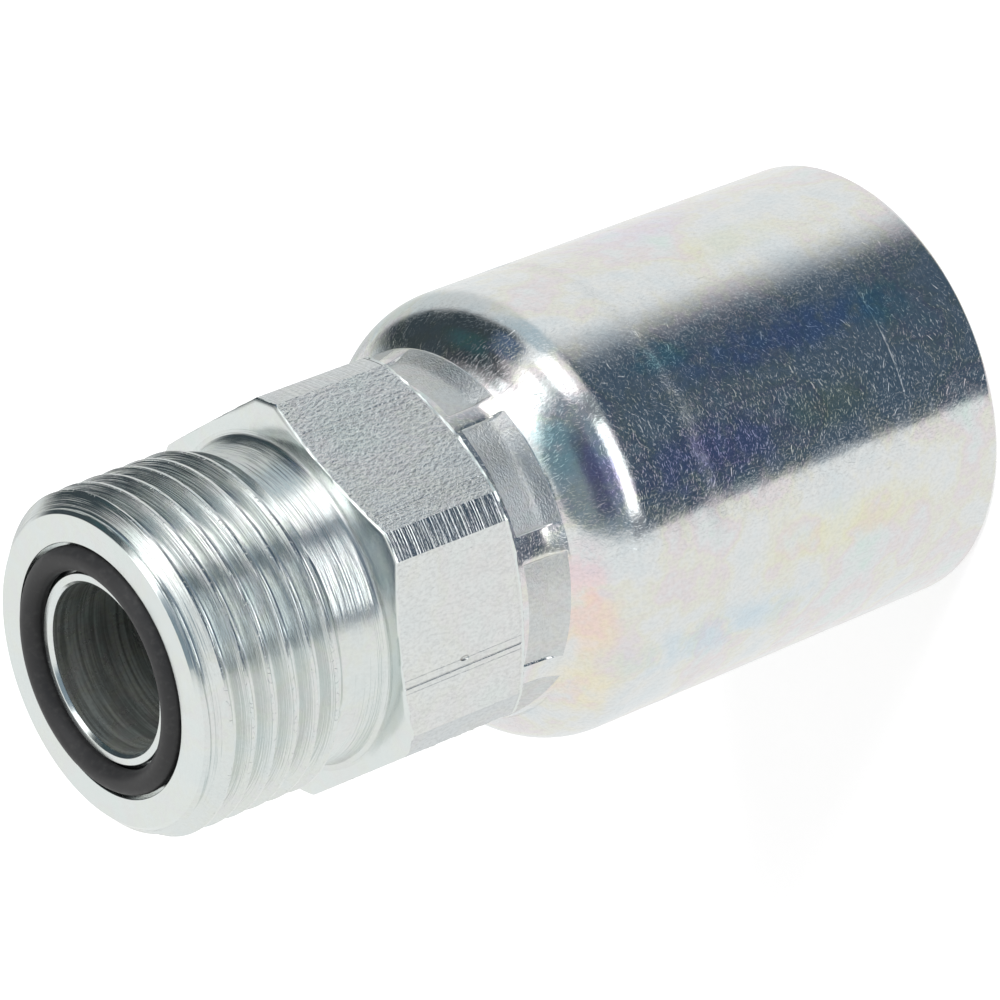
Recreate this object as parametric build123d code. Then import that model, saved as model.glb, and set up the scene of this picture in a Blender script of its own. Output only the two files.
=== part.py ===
from build123d import *
import math
import os

# A straight crimp fitting for hydraulic hose: a male thread with a face seal, a hexagon and a crimp shell.
# All lengths are in millimetres. The fitting stands on the open end of its shell, with the thread up.
# Z is the axis of the fitting, and the origin is the centre of the shell's open end.

# Lengths along the axis, which add up to the whole fitting
shell_length = 42.5
hex_length = 10.95
thread_end_length = 15.75

# Threaded end: the thread is a plain cylinder at its outside diameter
thread_diameter = 25.4
thread_length = 11.5
thread_chamfer = 1.35
relief_depth = 1.15
relief_fillet = 0.8
thread_runout_angle = 30.0

# Bore, and the lip round its mouth, which lies a little below the seal face
bore_diameter = 12.4
bore_chamfer = 0.25
lip_wall = 0.8
lip_recess = 0.33

# Rubber ring, round in section with a narrow flat where it sits, and the face groove that holds it
ring_section = 1.78
ring_side_gap = 0.26
ring_proud = 0.62
ring_squeeze = 0.02

# Hexagon: its corners are turned to a cylinder and both its ends are turned to a shallow cone
hex_across_flats = 26.99
hex_corner_trim = 0.58
hex_front_angle = 15.0
hex_back_angle = 25.0
hex_turn = 2.1

# Collar behind the hexagon, with the groove that the shell's neck is pressed into
collar_diameter = 20.4
collar_length = 6.0
collar_taper_angle = 50.0
lock_depth = 0.75
lock_start = 1.2
lock_width = 2.2
lock_slope = 0.5

# Hose stem: saw-tooth barbs that let the hose on and hold it
stem_wall = 1.45
barb_depth = 0.55
barb_pitch = 3.6
barb_count = 7
barb_flank = 0.35
stem_tip = 1.5
stem_pilot_length = 4.0
stem_nose_chamfer = 0.6

# Shell: a cup with a rounded shoulder and a neck, whose face stays a little inside the hexagon's flats
shell_diameter = 33.65
shell_wall = 2.8
shell_rim_radius = 0.4
shell_mouth_chamfer = 0.8
shoulder_radius = 6.2
neck_root_diameter = 27.8
neck_waist_diameter = 27.0
neck_length = 4.4
neck_flare_length = 1.7
neck_face_inset = 0.145
neck_bore_length = 5.8
corner_radius = 3.2

# Gripping rings inside the shell
grip_count = 6
grip_pitch = 4.4
grip_first = 5.5
grip_height = 0.9
grip_crest = 0.8
grip_flank = 0.5

# Pads that staking left around the shell's neck, with a narrow ridge between each two
pad_count = 8
pad_ridge_angle = 7.0
pad_depth = 0.2
pad_rim = 0.6
pad_length = 3.7
pad_turn = 10.1

# Heights and radii that follow from the sizes above
shell_top = shell_length
hex_top = shell_top + hex_length
face_height = hex_top + thread_end_length
thread_radius = thread_diameter / 2
relief_radius = thread_radius - relief_depth
bore_radius = bore_diameter / 2
lip_radius = bore_radius + lip_wall
groove_radius = lip_radius + ring_section + 2 * ring_side_gap
groove_floor = face_height + ring_proud - ring_section + ring_squeeze
hex_flat_radius = hex_across_flats / 2
hex_corner_radius = hex_flat_radius / math.cos(math.radians(30)) - hex_corner_trim
collar_radius = collar_diameter / 2
lock_radius = collar_radius - lock_depth
pilot_radius = bore_radius + stem_wall
stem_radius = pilot_radius + barb_depth
shell_radius = shell_diameter / 2
neck_face_radius = hex_flat_radius - neck_face_inset
neck_waist_radius = neck_waist_diameter / 2
neck_root_radius = neck_root_diameter / 2
neck_root_height = shell_top - neck_length
neck_waist_height = neck_root_height + neck_flare_length
shoulder_centre_radius = shell_radius - shoulder_radius
shoulder_rise = math.sqrt(shoulder_radius**2 - (neck_root_radius - shoulder_centre_radius) ** 2)
shoulder_centre_height = neck_root_height - shoulder_rise
cut_margin = 1.0


def turned(outline):
    """Revolve a closed outline, drawn as radius and height, about the fitting's axis."""
    return revolve(Plane.XZ * make_face(outline), Axis.Z)


def closed_outline(points):
    """A closed outline of straight lines through points of radius and height."""
    return Polyline(points, close=True)


def bore_cutter():
    """The through bore, with the small chamfer at its mouth behind the lip."""
    mouth = face_height - lip_recess
    bottom = stem_tip - cut_margin
    points = [
        (0, bottom),
        (bore_radius, bottom),
        (bore_radius, mouth - bore_chamfer),
        (bore_radius + bore_chamfer, mouth),
        (bore_radius + bore_chamfer, face_height + cut_margin),
        (0, face_height + cut_margin),
    ]
    return turned(closed_outline(points))


def threaded_end():
    """The end that screws in: face, seal groove, recessed lip, thread cylinder, relief and its fillet."""
    thread_bottom = face_height - thread_length
    runout = (thread_radius - relief_radius) * math.tan(math.radians(thread_runout_angle))
    fillet_start = (relief_radius, hex_top + relief_fillet)
    fillet_end = (relief_radius + relief_fillet, hex_top)
    face_side = Polyline(
        (0, hex_top),
        (0, face_height - lip_recess),
        (lip_radius, face_height - lip_recess),
        (lip_radius, groove_floor),
        (groove_radius, groove_floor),
        (groove_radius, face_height),
        (thread_radius - thread_chamfer, face_height),
        (thread_radius, face_height - thread_chamfer),
        (thread_radius, thread_bottom),
        (relief_radius, thread_bottom - runout),
        fillet_start,
    )
    fillet_arc = RadiusArc(fillet_start, fillet_end, relief_fillet)
    return turned(face_side + fillet_arc + Line(fillet_end, (0, hex_top)))


def hexagon():
    """The hexagon: a prism kept inside a turned blank with shallow cones at both ends."""
    corner_height = hex_corner_radius - hex_flat_radius
    front_drop = corner_height * math.tan(math.radians(hex_front_angle))
    back_drop = corner_height * math.tan(math.radians(hex_back_angle))
    blank = turned(
        closed_outline(
            [
                (0, shell_top),
                (hex_flat_radius, shell_top),
                (hex_corner_radius, shell_top + back_drop),
                (hex_corner_radius, hex_top - front_drop),
                (hex_flat_radius, hex_top),
                (0, hex_top),
            ]
        )
    )
    outline = RegularPolygon(radius=hex_flat_radius, side_count=6, major_radius=False, rotation=hex_turn)
    prism = extrude(Plane.XY.offset(shell_top) * outline, amount=hex_length)
    return prism & blank


def lock_heights():
    """Heights where the staking groove starts to narrow, is narrow, ends being narrow and is full again."""
    top = shell_top - lock_start
    bottom = top - lock_width
    return top, top - lock_slope, bottom + lock_slope, bottom


def collar_and_stem():
    """Everything behind the hexagon: collar with its staking groove, taper and barbed hose stem."""
    groove_top, narrow_top, narrow_bottom, groove_bottom = lock_heights()
    collar_bottom = shell_top - collar_length
    taper = (collar_radius - stem_radius) * math.tan(math.radians(collar_taper_angle))
    pilot_top = stem_tip + stem_pilot_length
    points = [
        (0, stem_tip),
        (pilot_radius - stem_nose_chamfer, stem_tip),
        (pilot_radius, stem_tip + stem_nose_chamfer),
        (pilot_radius, pilot_top),
    ]
    for barb in range(barb_count):
        crest = pilot_top + (barb + 1) * barb_pitch
        points.append((stem_radius, crest - barb_flank))
        points.append((pilot_radius, crest))
    last_barb = pilot_top + barb_count * barb_pitch
    points += [
        (stem_radius, last_barb + barb_flank),
        (stem_radius, collar_bottom - taper),
        (collar_radius, collar_bottom),
        (collar_radius, groove_bottom),
        (lock_radius, narrow_bottom),
        (lock_radius, narrow_top),
        (collar_radius, groove_top),
        (collar_radius, shell_top),
        (0, shell_top),
    ]
    return turned(closed_outline(points))


def make_nipple():
    """The nipple, one turned piece from the seal face to the tip of the hose stem."""
    return threaded_end() + hexagon() + collar_and_stem() - bore_cutter()


def neck_point(height, depth):
    """The point at a height that lies a depth below the neck, which flares from its waist to the shoulder."""
    if height > neck_waist_height:
        share = (shell_top - height) / (neck_length - neck_flare_length)
        return neck_face_radius + (neck_waist_radius - neck_face_radius) * share - depth, height
    share = (neck_waist_height - height) / neck_flare_length
    return neck_waist_radius + (neck_root_radius - neck_waist_radius) * share - depth, height


def shell_outside():
    """The shell's outer form, solid: rounded rim, cylinder, shoulder arc, neck and flat neck face."""
    rim_start = (shell_radius - shell_rim_radius, 0)
    rim_end = (shell_radius, shell_rim_radius)
    shoulder_start = (shell_radius, shoulder_centre_height)
    shoulder_end = neck_point(neck_root_height, 0)
    waist = neck_point(neck_waist_height, 0)
    outline = (
        Line((0, 0), rim_start)
        + RadiusArc(rim_start, rim_end, -shell_rim_radius)
        + Line(rim_end, shoulder_start)
        + RadiusArc(shoulder_start, shoulder_end, -shoulder_radius)
        + Polyline(shoulder_end, waist, neck_point(shell_top, 0), (0, shell_top), (0, 0))
    )
    return turned(outline)


def shell_inside():
    """The hollow of the shell: chamfered mouth, gripping rings, rounded floor and the neck's staked bore."""
    inner_radius = shell_radius - shell_wall
    grip_radius = inner_radius - grip_height
    floor = shell_top - neck_bore_length
    groove_top, narrow_top, narrow_bottom, groove_bottom = lock_heights()
    wall = [
        (0, -cut_margin),
        (inner_radius + shell_mouth_chamfer + cut_margin, -cut_margin),
        (inner_radius, shell_mouth_chamfer),
    ]
    for grip in range(grip_count):
        start = grip_first + grip * grip_pitch
        wall.append((inner_radius, start))
        wall.append((grip_radius, start + grip_flank))
        wall.append((grip_radius, start + grip_flank + grip_crest))
        wall.append((inner_radius, start + 2 * grip_flank + grip_crest))
    corner_start = (inner_radius, floor - corner_radius)
    corner_end = (inner_radius - corner_radius, floor)
    wall.append(corner_start)
    neck = Polyline(
        corner_end,
        (collar_radius, floor),
        (collar_radius, groove_bottom),
        (lock_radius, narrow_bottom),
        (lock_radius, narrow_top),
        (collar_radius, groove_top),
        (collar_radius, shell_top + cut_margin),
        (0, shell_top + cut_margin),
        (0, -cut_margin),
    )
    return turned(Polyline(wall) + RadiusArc(corner_start, corner_end, -corner_radius) + neck)


def pad_cutter():
    """What one staking pad takes off the neck: a floor down to the waist and a ramp up to the flare."""
    top = shell_top - pad_rim
    bottom = top - pad_length
    points = [
        neck_point(top, pad_depth),
        neck_point(neck_waist_height, pad_depth),
        neck_point(bottom, 0),
        (shell_radius + cut_margin, bottom),
        (shell_radius + cut_margin, top),
    ]
    pad_angle = 360 / pad_count - pad_ridge_angle
    cutter = revolve(Plane.XZ * make_face(closed_outline(points)), Axis.Z, pad_angle)
    return Rot(0, 0, pad_turn - pad_angle / 2) * cutter


def make_shell():
    """The crimp shell, one cup of steel, staked to the nipple's collar."""
    pads = [Rot(0, 0, 360 / pad_count * pad) * pad_cutter() for pad in range(pad_count)]
    return shell_outside() - shell_inside() - pads


def make_ring():
    """The rubber ring, seated on the floor of the face groove."""
    section_radius = ring_section / 2
    centre_radius = (lip_radius + groove_radius) / 2
    centre_height = groove_floor + section_radius - ring_squeeze
    section = Pos(centre_radius, centre_height) * Circle(section_radius)
    floor_cut = Pos(centre_radius, groove_floor - section_radius) * Rectangle(ring_section, ring_section)
    return revolve(Plane.XZ * (section - floor_cut), Axis.Z)


os.makedirs("parts", exist_ok=True)
pieces = {
    "nipple": make_nipple(),
    "shell": make_shell(),
    "o_ring": make_ring(),
}
for name, piece in pieces.items():
    export_step(piece, f"parts/{name}.step")
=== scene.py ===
# %% [markdown]
# # A crimp hose fitting in bright zinc
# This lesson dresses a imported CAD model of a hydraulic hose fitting. The fitting has three pieces: a turned
# nipple with a thread and a hexagon, a crimp shell that is staked on behind the hexagon, and a rubber ring
# in the face. The CAD model fixes the places and the main sizes. Blender adds what a solid modeller leaves
# out: the helical thread, rounded edges, tool marks, the sheen of the zinc and the light.

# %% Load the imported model
import math

import bmesh
import bpy
import numpy as np
from mathutils import Matrix, Vector


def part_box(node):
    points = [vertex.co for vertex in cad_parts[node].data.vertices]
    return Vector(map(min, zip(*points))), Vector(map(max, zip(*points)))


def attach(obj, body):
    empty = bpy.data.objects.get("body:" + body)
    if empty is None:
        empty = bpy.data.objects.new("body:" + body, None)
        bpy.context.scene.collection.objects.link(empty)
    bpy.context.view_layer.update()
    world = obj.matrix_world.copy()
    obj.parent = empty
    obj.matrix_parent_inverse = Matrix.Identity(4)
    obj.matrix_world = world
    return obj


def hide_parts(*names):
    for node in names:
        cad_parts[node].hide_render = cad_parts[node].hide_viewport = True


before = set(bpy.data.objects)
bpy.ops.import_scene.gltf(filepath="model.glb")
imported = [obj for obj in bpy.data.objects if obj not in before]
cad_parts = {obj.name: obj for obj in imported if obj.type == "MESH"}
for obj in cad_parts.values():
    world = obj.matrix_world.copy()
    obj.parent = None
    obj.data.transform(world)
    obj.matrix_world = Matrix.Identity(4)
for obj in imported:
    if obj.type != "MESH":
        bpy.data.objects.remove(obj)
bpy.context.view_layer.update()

# %% [markdown]
# ## Sizes
# The fitting stands on the open end of its shell, and Z is its axis. The heights where the pieces end are
# measured from the nodes of the CAD model. The rest are sizes of the real part, in millimetres, because that
# is how a turner thinks of them. Meshes are turned into metres only when they are made.

# %% Sizes in millimetres
MM = 0.001
nipple_low, nipple_high = (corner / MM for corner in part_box("nipple"))
shell_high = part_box("shell")[1] / MM
ring_low, ring_high = (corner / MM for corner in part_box("o_ring"))

face_z = nipple_high.z
stem_tip_z = nipple_low.z
shell_top_z = shell_high.z
shell_radius = 16.825
hex_corner_radius = 15.0
hex_flat_radius = 13.495
hex_length = 10.95
hex_turn = 2.1
hex_top_z = shell_top_z + hex_length
bore_radius = 6.2
collar_radius = 10.2
lock_radius = 9.45
print("thread end, hexagon and shell in mm:", round(face_z - hex_top_z, 2), hex_length, round(shell_top_z, 2))

# %% [markdown]
# ## A lathe in mesh code
# Nearly every surface here was made on a lathe, so each mesh is a grid of points: rows go along the outline
# and columns go round the axis. A Screw modifier would turn an outline too, but it gives every column the
# same outline, and the hexagon, the thread and the staked pads need outlines that change on the way round.
# The outline's corners get a small arc, because a real edge is never perfectly sharp and its highlight is
# what makes metal look solid. Each arc has one extra point on either side, which keeps the flat faces flat
# when the mesh is shaded smooth.

# %% Outline helper
LONGEST_ARC_SHARE = 0.45
EXTRA_POINT_REACH = 1.1


def rounded_outline(corners, steps=5):
    """Points along an outline of (radius, height, edge radius) corners, with an arc at each rounded one."""
    points = []
    for index, (radius, height, edge) in enumerate(corners):
        here = np.array((radius, height), float)
        if edge == 0 or index in (0, len(corners) - 1):
            points.append(here)
            continue
        before = np.array(corners[index - 1][:2]) - here
        after = np.array(corners[index + 1][:2]) - here
        before_length = np.linalg.norm(before)
        after_length = np.linalg.norm(after)
        before = before / before_length
        after = after / after_length
        half_angle = math.acos(np.clip(before @ after, -1, 1)) / 2
        longest = LONGEST_ARC_SHARE * min(before_length, after_length)
        back = min(edge / math.tan(half_angle), longest)
        edge = back * math.tan(half_angle)
        middle = (before + after) / np.linalg.norm(before + after)
        centre = here + middle * edge / math.sin(half_angle)
        start = here + before * back
        end = here + after * back
        points.append(here + before * back * EXTRA_POINT_REACH)
        for step in range(steps + 1):
            share = step / steps
            ray = start * (1 - share) + end * share - centre
            points.append(centre + ray / np.linalg.norm(ray) * edge)
        points.append(here + after * back * EXTRA_POINT_REACH)
    return points


# %% Grid to mesh
WELD_DISTANCE = 0.0004 * MM
SLIVER = 0.0002 * MM


def patch(points, slot, closed_rows=False, closed_columns=True):
    """A grid of points in mm (rows x columns x 3), with the material slot of its faces and how it closes."""
    return {"points": points, "slot": slot, "closed_rows": closed_rows, "closed_columns": closed_columns}


def patch_faces(part, first):
    """The four corners of every face of a patch whose first point has the number first, and their slots."""
    rows, columns = part["points"].shape[:2]
    row = np.arange(rows if part["closed_rows"] else rows - 1)[:, None]
    column = np.arange(columns if part["closed_columns"] else columns - 1)[None, :]
    next_row = (row + 1) % rows
    next_column = (column + 1) % columns
    corners = [row * columns + column, row * columns + next_column]
    corners += [next_row * columns + next_column, next_row * columns + column]
    faces = np.stack(corners, axis=-1).reshape(-1, 4) + first
    slots = np.broadcast_to(part["slot"], corners[0].shape).reshape(-1)
    return faces, slots


def grid_object(name, parts, materials, sharp_degrees=38):
    """One object from several patches, welded where they meet."""
    points = []
    faces = []
    slots = []
    count = 0
    for part in parts:
        part_faces, part_slots = patch_faces(part, count)
        points.append(part["points"].reshape(-1, 3) * MM)
        faces.append(part_faces)
        slots.append(part_slots)
        count += len(points[-1])
    mesh = bpy.data.meshes.new(name)
    mesh.from_pydata(np.concatenate(points).tolist(), [], np.concatenate(faces).tolist())
    mesh.polygons.foreach_set("material_index", np.concatenate(slots).astype(np.int32))
    piece = bpy.data.objects.new(name, mesh)
    bpy.context.scene.collection.objects.link(piece)
    for material in materials:
        mesh.materials.append(material)
    weld_and_shade(mesh, sharp_degrees)
    print(name, "has", sum(len(face.vertices) - 2 for face in mesh.polygons), "triangles")
    return piece


def weld_and_shade(mesh, sharp_degrees):
    """Join points that coincide, drop what has no area, turn faces outward and keep real edges sharp."""
    work = bmesh.new()
    work.from_mesh(mesh)
    bmesh.ops.remove_doubles(work, verts=work.verts, dist=WELD_DISTANCE)
    bmesh.ops.dissolve_degenerate(work, edges=work.edges, dist=SLIVER)
    bmesh.ops.recalc_face_normals(work, faces=work.faces)
    work.to_mesh(mesh)
    work.free()
    mesh.shade_smooth()
    mesh.set_sharp_from_angle(angle=math.radians(sharp_degrees))


def lathe(outline, angles):
    """Rows of points for an outline of (radius, height) turned about Z."""
    outline = np.array([point[:2] for point in outline])
    radius = outline[:, 0][:, None]
    height = np.repeat(outline[:, 1][:, None], len(angles), axis=1)
    return np.stack((radius * np.cos(angles), radius * np.sin(angles), height), axis=2)


def from_polar(radius, angles, height):
    """Points from radii, angles and heights, any of which may be one value for all."""
    radius, angles, height = np.broadcast_arrays(radius, angles, height)
    return np.stack((radius * np.cos(angles), radius * np.sin(angles), height), axis=-1)


# %% [markdown]
# ## Small irregularities
# Burrs, nicks and a hand-fed tool never repeat exactly. A sum of a few waves with whole numbers of turns
# gives a value that wanders as it goes round and still meets itself, so no seam shows.

# %% Wandering value
WAVES = 14


def wander(angles, seed, slowest, fastest):
    """A smooth value of about -1 to 1 that closes on itself after one turn."""
    draw = np.random.default_rng(seed)
    total = np.zeros_like(angles)
    turns = np.unique(np.linspace(slowest, fastest, WAVES).astype(int))
    for turn in turns:
        total += draw.normal() * np.cos(turn * angles + draw.uniform(0, 2 * math.pi))
    return total / math.sqrt(len(turns))


# %% [markdown]
# ## Columns of the nipple
# The hexagon sets the columns. Its corners were turned to a cylinder, so each corner is a narrow curved band
# between two flats. A column falls exactly on each border, and the flats share the rest.

# %% Columns that fit the hexagon
FLAT_COLUMNS = 40
CORNER_COLUMNS = 8
flat_half_angle = math.acos(hex_flat_radius / hex_corner_radius)
corner_half_angle = math.radians(30) - flat_half_angle


def hexagon_columns():
    """Angles of the columns, and for each column whether the face after it lies on a corner band."""
    angles = []
    on_corner = []
    for side in range(6):
        corner = math.radians(hex_turn + 60 * side - 180)
        for step in range(CORNER_COLUMNS):
            angles.append(corner + corner_half_angle * (2 * step / CORNER_COLUMNS - 1))
            on_corner.append(True)
        for step in range(FLAT_COLUMNS):
            angles.append(corner + corner_half_angle + 2 * flat_half_angle * step / FLAT_COLUMNS)
            on_corner.append(False)
    return np.array(angles), on_corner


nipple_angles, corner_columns = hexagon_columns()
from_flat = (np.degrees(nipple_angles) - hex_turn) % 60 - 30
hex_radii = np.minimum(hex_flat_radius / np.cos(np.radians(from_flat)), hex_corner_radius)
print("columns round the nipple:", len(nipple_angles))

# %% [markdown]
# ## Bore, lip, groove and face
# From the tip of the stem the outline runs up the bore, over the small chamfer and the recessed lip, through
# the groove that holds the ring, and across the seal face to its outer edge.

# %% Mating end of the nipple
lip_radius = 7.0
lip_z = face_z - 0.33
groove_radius = 9.3
groove_z = ring_low.z
thread_radius = 12.7
thread_chamfer = 1.35
face_radius = thread_radius - thread_chamfer
thread_root_radius = 11.59
cone_to_root = thread_root_radius - face_radius

lip_chamfer = 0.25
bore_heights = (stem_tip_z, stem_tip_z + 8, 30, 50, lip_z - 4)
face_corners = [(bore_radius, height, 0) for height in bore_heights] + [
    (bore_radius, lip_z - lip_chamfer, 0.12),
    (bore_radius + lip_chamfer, lip_z, 0.12),
    (lip_radius, lip_z, 0.1),
    (lip_radius, groove_z, 0),
    (groove_radius, groove_z, 0),
    (groove_radius, face_z, 0.07),
    (10.3, face_z, 0),
    (face_radius, face_z, 0.12),
    (thread_root_radius, face_z - cone_to_root, 0),
]
face_grid = lathe(rounded_outline(face_corners), nipple_angles)
print("rows up the bore and over the face:", len(face_grid))

# %% [markdown]
# ## The thread
# The thread is a 1-14: 25.4 mm outside and 14 turns to the inch, with flanks at 60 degrees, narrow crests and
# rounded roots. Its rows don't run straight round. They climb with the helix, so that every crest and root
# lies along a row, and its edges stay crisp however close the camera comes. At both ends the rows are held
# back at the thread's limits and welded together. There the start chamfer and the run-out are cones, and the
# surface is whichever of thread and cone is lower.

# %% Thread form
PITCH = 25.4 / 14
CREST_HALF = 0.06
CREST_ROUND = 0.035
ROOT_ROUND = 0.255
FIRST_CREST = 1.6
NICK_DEPTH = 0.05
FLANK_SLANT = math.radians(30)
thread_length = 11.5
relief_radius = 11.55
runout_end = thread_length + (thread_radius - thread_root_radius) * math.tan(FLANK_SLANT)


def thread_form():
    """Phases in pitches from a crest's centre and the depths there, over crest, edge, flank and root."""
    root_depth = thread_radius - thread_root_radius
    edge = CREST_HALF * PITCH - CREST_ROUND * math.tan(FLANK_SLANT)
    crest = [(0.0, 0.0), (edge - 0.02, 0.0)]
    for turn in np.radians((0, 20, 40, 60)):
        crest.append((edge + CREST_ROUND * math.sin(turn), CREST_ROUND * (1 - math.cos(turn))))
    root = []
    for turn in np.radians((60, 45, 30, 15, 0)):
        root.append((PITCH / 2 - ROOT_ROUND * math.sin(turn), root_depth - ROOT_ROUND * (1 - math.cos(turn))))
    top, bottom = np.array(crest[-1]), np.array(root[0])
    flank = [tuple(top + share * (bottom - top)) for share in (0.05, 0.5, 0.95)]
    distances, depths = np.array(crest + flank + root).T
    return distances / PITCH, depths


thread_phases, thread_depths = thread_form()
print("pitch and depth of the thread in mm:", round(PITCH, 3), round(max(thread_depths), 3))


def lower_of(first, second, blend=0.012):
    """The lower of two surfaces, with the edge where they cross rounded a little."""
    return -blend * np.logaddexp(-first / blend, -second / blend)


# %% Helical rows
def thread_grid(angles):
    """Rows that climb with a right-handed helix, from the start chamfer down to the run-out."""
    steps = sorted({round(sign * phase % 1, 6) for phase in thread_phases for sign in (1, -1)})
    first_turn = math.floor((cone_to_root - FIRST_CREST) / PITCH - 1)
    last_turn = math.ceil((runout_end - FIRST_CREST) / PITCH + 1)
    rows = np.array([turn + step for turn in range(first_turn, last_turn) for step in steps])
    helix = rows[:, None] - angles[None, :] / (2 * math.pi)
    below_face = np.clip(FIRST_CREST + PITCH * helix, cone_to_root, runout_end)
    phase = (below_face - FIRST_CREST) / PITCH + angles / (2 * math.pi)
    from_crest = np.abs(phase - np.round(phase))
    nicks = np.clip(wander(angles, 11, 30, 90) + wander(angles, 12, 3, 9) - 1.4, 0, 1)
    depth = np.interp(from_crest, thread_phases, thread_depths)
    crest_share = np.interp(from_crest, (CREST_HALF, 0.12), (1, 0))
    radius = thread_radius - depth - NICK_DEPTH * nicks * crest_share
    radius = lower_of(radius, face_radius + below_face)
    radius = lower_of(radius, thread_radius - (below_face - thread_length) / math.tan(FLANK_SLANT))
    at_end = (below_face <= cone_to_root) | (below_face >= runout_end)
    radius = np.where(at_end, thread_root_radius, radius)
    return from_polar(radius, angles, face_z - below_face)


# %% [markdown]
# The last column of a helical row is the first one a whole pitch further along. So this grid has one column
# more than the others and doesn't wrap round: the weld finds the points that coincide and closes the seam.

# %% Close the helix
thread_angles = np.append(nipple_angles, nipple_angles[0] + 2 * math.pi)
thread_rows = thread_grid(thread_angles)
print("thread rows:", len(thread_rows), "outside diameter:", round(2 * thread_rows[..., :2].max(), 2))

# %% [markdown]
# ## Relief and hexagon
# Behind the thread the turner left a relief with a fillet up to the hexagon. The hexagon's front was turned
# to a cone of 15 degrees and its back to one of 25, so the cones cut low arches into the flats and run out
# at their middles. Each row is one step along the outline, but its radius and height follow the column, and
# the arches come by themselves. The back edge carries a thin ragged burr that the cutting tool rolled up,
# with a few lumps, each given by its angle and spread in degrees and its height. A fine groove runs round
# just above the burr. Both are given in edge widths above the back edge.

# %% Relief, fillet and hexagon rows
TURNED, FLAT, CORNER, BORE, THREAD = range(5)
relief_fillet = 0.45
front_slope = math.tan(math.radians(15))
back_slope = math.tan(math.radians(25))
edge_width = 0.1
burr_height = 0.06
BURR_LUMPS = [(-10.5, 3.0, 0.1), (27.0, 5.0, 0.1), (143.0, 4.0, 0.08)]
SIDE_SHARES = (0, 0.012, 0.5, 0.988, 1)
GROOVE_START = 3.8
FINE_GROOVE = ((3.5, 0.02), (3.2, 0.02), (2.9, 0), (2, 0))
BURR_SECTION = ((0.7, 1), (1, 0.3), (0.4, 0))


def front_z(radius):
    """Height of the hexagon's turned front at a radius."""
    return hex_top_z - np.maximum(radius - hex_flat_radius, 0) * front_slope


def back_z(radius):
    """Height of the hexagon's turned back at a radius."""
    return shell_top_z + np.maximum(radius - hex_flat_radius, 0) * back_slope


def hexagon_rows():
    """Rows of (radius, height) over the hexagon, from its front face round to its back face."""
    edge = hex_radii
    burr = burr_height * np.clip(0.45 + wander(nipple_angles, 5, 20, 140), 0, 1.6)
    for angle, spread, height in BURR_LUMPS:
        burr = burr + height * np.exp(-(((np.degrees(nipple_angles) - angle) / spread) ** 2))
    front = front_z(edge)
    back = back_z(edge)
    side_top = front - edge_width * np.clip(1 + 0.8 * wander(nipple_angles, 6, 40, 140), 0.3, 2.5)
    side_bottom = back + GROOVE_START * edge_width
    rows = [(edge - back_off, front_z(edge - back_off)) for back_off in (4 * edge_width, edge_width)]
    rows.append((edge - 0.03, front - 0.02))
    for share in SIDE_SHARES:
        rows.append((edge, side_top + share * (side_bottom - side_top)))
    for above, sunk in FINE_GROOVE:
        rows.append((edge - sunk, back + above * edge_width))
    for out, above in BURR_SECTION:
        rows.append((edge + out * burr, back + above * edge_width))
    rows.append((edge - 0.25, back_z(edge - 0.25)))
    return rows


# %% [markdown]
# The relief widens in a slow cone and ends in a small fillet, an arc of eight steps. Behind the hexagon come
# the collar with the groove that the shell is staked into, and the stem with its saw-tooth barbs. They are
# hidden now, but the piece has them, because somebody may take the shell off.

# %% Relief
def arc_points(centre_radius, centre_height, radius, start, end, steps):
    """Points of (radius, height) along an arc, between two angles in degrees."""
    angles = np.radians(np.linspace(start, end, steps + 1))
    return [(centre_radius + radius * math.cos(a), centre_height + radius * math.sin(a)) for a in angles]


hex_face_radius = 12.9
relief_start_z = face_z - runout_end - 0.05
relief_outline = [(thread_root_radius, face_z - runout_end), (relief_radius - 0.18, relief_start_z)]
relief_outline += [(relief_radius, face_z - 13.2), (relief_radius + 0.2, face_z - 14.2)]
relief_outline += [(relief_radius + 0.42, face_z - 15.2)]
relief_outline += arc_points(relief_radius + 0.9, hex_top_z + relief_fillet, relief_fillet, 192, 270, 8)
relief_outline += [(12.6, hex_top_z), (hex_face_radius, hex_top_z)]

# %% Collar and barbed stem
stem_radius = 8.2
pilot_radius = 7.65
barb_count = 7
barb_pitch = 3.6
barb_flank = 0.35
pilot_top_z = stem_tip_z + 4
collar_bottom_z = shell_top_z - 6
lock_groove = [
    (collar_radius, shell_top_z),
    (collar_radius, shell_top_z - 1.2),
    (lock_radius, shell_top_z - 1.7),
    (lock_radius, shell_top_z - 2.9),
    (collar_radius, shell_top_z - 3.4),
]
stem_outline = [(hex_face_radius, shell_top_z)] + lock_groove
stem_outline += [(collar_radius, collar_bottom_z), (stem_radius, collar_bottom_z - 2.38)]
for barb in reversed(range(barb_count)):
    crest_z = pilot_top_z + (barb + 1) * barb_pitch
    if barb == barb_count - 1:
        stem_outline.append((stem_radius, crest_z + barb_flank))
    stem_outline.append((pilot_radius, crest_z))
    stem_outline.append((stem_radius, crest_z - barb_flank))
stem_outline += [
    (pilot_radius, pilot_top_z),
    (pilot_radius, stem_tip_z + 0.6),
    (pilot_radius - 0.6, stem_tip_z),
    (bore_radius, stem_tip_z),
]

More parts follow.
